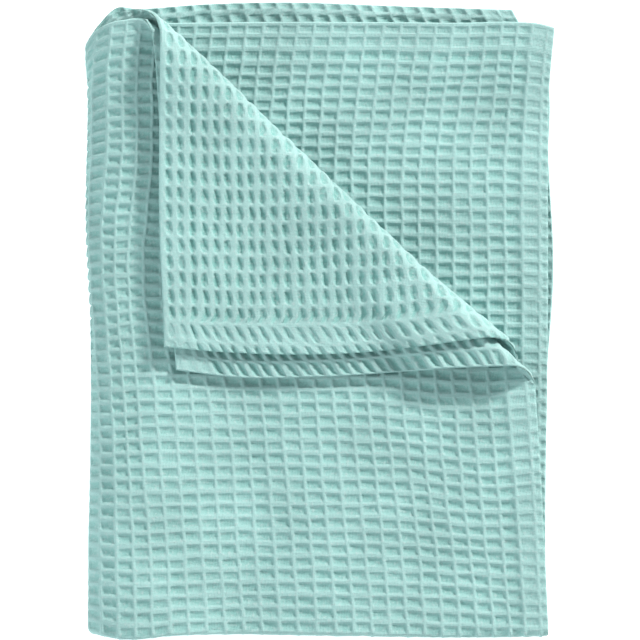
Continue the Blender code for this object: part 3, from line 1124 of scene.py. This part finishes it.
@dataclass(frozen=True)
class MintCotton:
    """Mint green cotton, yarn dyed and woven, washed soft.

    It is matt, with a thin fuzz that catches light on the ridges. Its pits are painted darker and deeper in
    colour, as painted shade for the light that bounces between their walls.
    """

    ridge_color: str = "#A5CBCA"
    # The pit colour is painted shade: darker than the ridges where the relief is low, not the cloth's own
    # dye.
    pit_shade_color: str = "#84B8B4"
    lint_color: str = "#C4D2D4"
    roughness: float = 0.95
    sheen: float = 0.20
    sheen_roughness: float = 0.5
    sheen_color: str = "#E6F4F2"
    yarn_across: float = 1.18 * MM
    yarn_along: float = 1.13 * MM
    slub_size: float = 2.4 * MM
    fuzz_size: float = 0.9 * MM
    shade_size: float = 60.0 * MM
    yarn_height: float = 0.20 * MM
    slub_height: float = 0.42 * MM
    fuzz_height: float = 0.22 * MM
    specular: float = 0.2
    fuzz_in_mottling: float = 1.1
    yarn_waver: float = 1.6
    yarn_waver_size: float = 1.2

    def material(self) -> bpy.types.Material:
        """Builds the material on the piece's own sheet coordinates and relief.

        Returns:
            The material.
        """
        material = bpy.data.materials.new("mint_woven_cotton")
        material.use_nodes = True
        tree = material.node_tree
        tree.nodes.clear()
        sheet = add_node(tree, "ShaderNodeUVMap", {"uv_map": "sheet"}).outputs["UV"]
        relief = add_node(tree, "ShaderNodeAttribute", {"attribute_name": "relief"}).outputs["Fac"]
        noises = (
            add_node(tree, "ShaderNodeTexNoise", {"Scale": 1 / size, "Detail": detail}, {"Vector": sheet})
            for size, detail in ((self.slub_size, 2.0), (self.fuzz_size, 2.0), (self.shade_size, 1.0))
        )
        slub, fuzz, shade = (noise.outputs["Fac"] for noise in noises)
        shader = add_node(
            tree,
            "ShaderNodeBsdfPrincipled",
            {
                "Roughness": self.roughness,
                "Sheen Weight": self.sheen,
                "Sheen Roughness": self.sheen_roughness,
                "Sheen Tint": linear(self.sheen_color),
                "Specular IOR Level": self.specular,
            },
            {
                "Base Color": self.color(tree, relief, slub, fuzz, shade),
                "Normal": self.bump(tree, sheet, slub, fuzz),
            },
        )
        add_node(tree, "ShaderNodeOutputMaterial", links={"Surface": shader.outputs["BSDF"]})
        return material

    def color(self, tree: bpy.types.NodeTree, relief: bpy.types.NodeSocket, slub: bpy.types.NodeSocket,
              fuzz: bpy.types.NodeSocket, shade: bpy.types.NodeSocket) -> bpy.types.NodeSocket:
        """Painted pit shade to ridge colour, with pale lint on some yarns, mottling and slow changes of dye.

        Args:
            tree: the node tree.
            relief: the height above the middle of the cloth, in millimetres, which sets the pits' painted
                shade.
            slub: noise as wide as the yarns' thick places.
            fuzz: finer noise.
            shade: very broad noise.

        Returns:
            The colour's socket.
        """
        # Painted shade: the lower the relief, the more of the darker pit colour a point takes.
        high = add_node(tree, "ShaderNodeMapRange", PIT_SHADE_TO_RIDGE, {"Value": relief}).outputs["Result"]
        pit_shaded_base = add_node(
            tree,
            "ShaderNodeMix",
            {"data_type": "RGBA", 6: linear(self.pit_shade_color), 7: linear(self.ridge_color)},
            {0: high},
        ).outputs[2]
        linty = add_node(tree, "ShaderNodeMapRange", LINT_SHARE, {"Value": slub}).outputs["Result"]
        worn = add_node(
            tree, "ShaderNodeMix", {"data_type": "RGBA", 7: linear(self.lint_color)}, {0: linty, 6: pit_shaded_base}
        ).outputs[2]
        both = add_node(
            tree,
            "ShaderNodeMath",
            {"operation": "MULTIPLY_ADD", 1: self.fuzz_in_mottling},
            {0: fuzz, 2: shade},
        )
        value = add_node(tree, "ShaderNodeMapRange", MOTTLING, {"Value": both.outputs[0]}).outputs["Result"]
        return add_node(tree, "ShaderNodeHueSaturation", {}, {"Value": value, "Color": worn}).outputs["Color"]

    def bump(self, tree: bpy.types.NodeTree, sheet: bpy.types.NodeSocket, slub: bpy.types.NodeSocket,
             fuzz: bpy.types.NodeSocket) -> bpy.types.NodeSocket:
        """Yarns that cross at right angles, with thick places and a finer fuzz. A cell has twelve yarns
        across its width and nine along its length, which makes them 1.1 to 1.2 mm apart.

        Args:
            tree: the node tree.
            sheet: the place on the flat sheet.
            slub: noise as wide as the yarns' thick places.
            fuzz: finer noise.

        Returns:
            The normal's socket.
        """
        bands = [
            add_node(
                tree,
                "ShaderNodeTexWave",
                {
                    "bands_direction": way,
                    "Scale": 2 * math.pi / WAVE_RADIANS / pitch,
                    "Distortion": self.yarn_waver,
                    "Detail": 1.0,
                    "Detail Scale": self.yarn_waver_size,
                },
                {"Vector": sheet},
            ).outputs["Fac"]
            for way, pitch in (("X", self.yarn_across), ("Y", self.yarn_along))
        ]
        crossed = add_node(tree, "ShaderNodeMath", {"operation": "MULTIPLY"}, {0: bands[0], 1: bands[1]})
        yarns = crossed.outputs[0]
        normal = None
        heights = ((slub, self.slub_height), (yarns, self.yarn_height), (fuzz, self.fuzz_height))
        for height, distance in heights:
            links = {"Height": height} if normal is None else {"Height": height, "Normal": normal}
            bump = add_node(tree, "ShaderNodeBump", {"Strength": 1.0, "Distance": distance}, links)
            normal = bump.outputs["Normal"]
        return normal


@dataclass(frozen=True)
class PaleFloor:
    """A plain matt studio table of white acrylic, lit a little from below, so that shadows on it are pale."""

    color: str = "#FAFAFA"
    roughness: float = 0.9
    glow: float = 0.60

    def material(self) -> bpy.types.Material:
        """Builds the floor's plain material.

        Returns:
            The material.
        """
        material = bpy.data.materials.new("pale_studio_floor")
        material.use_nodes = True
        shader = material.node_tree.nodes["Principled BSDF"]
        shader.inputs["Base Color"].default_value = linear(self.color)
        shader.inputs["Roughness"].default_value = self.roughness
        shader.inputs["Emission Color"].default_value = linear(self.color)
        shader.inputs["Emission Strength"].default_value = self.glow
        return material


# ----------------------------------------
# The studio
# ----------------------------------------


@dataclass
class AreaLamp:
    """One soft lamp, placed by its bearing from +X, its elevation and its distance from the blanket."""

    name: str
    bearing_deg: float
    elevation_deg: float
    distance: float
    size: float
    power: float
    color: str

    def build(self) -> None:
        """Makes the lamp and turns it to the blanket."""
        bearing, elevation = math.radians(self.bearing_deg), math.radians(self.elevation_deg)
        light = bpy.data.lights.new(self.name, "AREA")
        light.shape = "DISK"
        light.size = self.size
        light.energy = self.power
        light.color = linear(self.color)[:3]
        lamp = bpy.data.objects.new(self.name, light)
        flat, height = self.distance * math.cos(elevation), self.distance * math.sin(elevation)
        lamp.location = (flat * math.cos(bearing), flat * math.sin(bearing), height)
        lamp.rotation_euler = (math.pi / 2 - elevation, 0.0, bearing + math.pi / 2)
        bpy.context.scene.collection.objects.link(lamp)


@dataclass
class Studio:
    """Floor, lamps, sky and the camera straight above."""

    floor_size: float = 12.0
    camera_height: float = 4.0
    focus_height: float = 0.024
    seen_width: float = 0.5056
    sensor_mm: float = 36.0
    seen_depth: float = 50.0
    sky_color: str = "#F2FFFD"
    sky_strength: float = 0.52
    lamps: tuple[AreaLamp, ...] = (
        AreaLamp("key", 50.0, 26.0, 8.0, 1.05, 745.0, "#FFFBF6"),
        AreaLamp("fill", 222.0, 30.0, 3.0, 1.6, 32.0, "#F6FFFF"),
    )

    def build(self) -> None:
        """Builds the whole studio."""
        self.floor()
        self.sky()
        self.camera()
        for lamp in self.lamps:
            lamp.build()

    def floor(self) -> None:
        """One large flat square under the blanket."""
        half = self.floor_size / 2
        mesh = bpy.data.meshes.new("floor")
        corners = [(-half, -half, 0), (half, -half, 0), (half, half, 0), (-half, half, 0)]
        mesh.from_pydata(corners, [], [(0, 1, 2, 3)])
        mesh.materials.append(PaleFloor().material())
        floor = bpy.data.objects.new("floor", mesh)
        bpy.context.scene.collection.objects.link(floor)

    def sky(self) -> None:
        """An even white sky."""
        world = bpy.data.worlds.new("studio")
        world.use_nodes = True
        background = world.node_tree.nodes["Background"]
        background.inputs["Color"].default_value = linear(self.sky_color)
        background.inputs["Strength"].default_value = self.sky_strength
        bpy.context.scene.world = world
        bpy.context.scene.view_settings.view_transform = "Standard"

    def camera(self) -> None:
        """A long lens straight above, whose square frame takes in the seen width at the focus height."""
        lens = bpy.data.cameras.new("camera")
        lens.sensor_width = self.sensor_mm
        lens.lens = self.sensor_mm * (self.camera_height - self.focus_height) / self.seen_width
        lens.clip_end = self.seen_depth
        camera = bpy.data.objects.new("camera", lens)
        camera.location = (0.0, 0.0, self.camera_height)
        bpy.context.scene.collection.objects.link(camera)
        bpy.context.scene.camera = camera


# ----------------------------------------
# The whole blanket
# ----------------------------------------


@dataclass
class Blanket:
    """All four layers, seated on the solid's box."""

    fold: BlanketFold = field(default_factory=BlanketFold)
    weave: WaffleWeave = field(default_factory=WaffleWeave)
    seat_steps: int = 801

    def seat(self) -> None:
        """Shifts the folds so that the outer sides of the side fold and the bottom fold meet the solid's."""
        low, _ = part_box(NODE)
        u = np.linspace(-self.fold.flat_width / 2, self.fold.flat_width / 2, self.seat_steps)
        v = np.linspace(-self.fold.flat_length / 2, self.fold.flat_length / 2, self.seat_steps)
        points = self.fold.place(*np.meshgrid(u, v))
        lowest = points.reshape(-1, 3).min(axis=0)
        self.fold.shift_x = low.x + self.fold.thickness / 2 - lowest[0]
        self.fold.shift_y = low.y + self.fold.thickness / 2 - lowest[1]

    def build(self) -> list[bpy.types.Object]:
        """Builds every layer and attaches it to the body.

        Returns:
            The four pieces, from the top.
        """
        self.seat()
        finish = MintCotton().material()
        pieces = []
        for layer in Layer:
            piece = BlanketLayer(layer, self.fold, self.weave).build(finish)
            LOG.info("%s: %d faces", piece.name, len(piece.data.polygons))
            pieces.append(piece)
        for place, piece in enumerate(pieces):
            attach(piece, BODY)
            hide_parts(NODE)
            below = [pieces[place + 1].name] if place + 1 < len(pieces) else []
        return pieces


def main() -> None:
    """Loads the solid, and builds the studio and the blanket."""
    logging.basicConfig(level=logging.INFO, format="%(name)s %(message)s")
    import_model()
    Studio().build()
    Blanket().build()


def plain(box: Sequence[Sequence[float]]) -> list[list[float]]:
    """A box as plain lists of numbers."""
    return [[float(value) for value in corner] for corner in box]


if __name__ == "__main__":
    main()
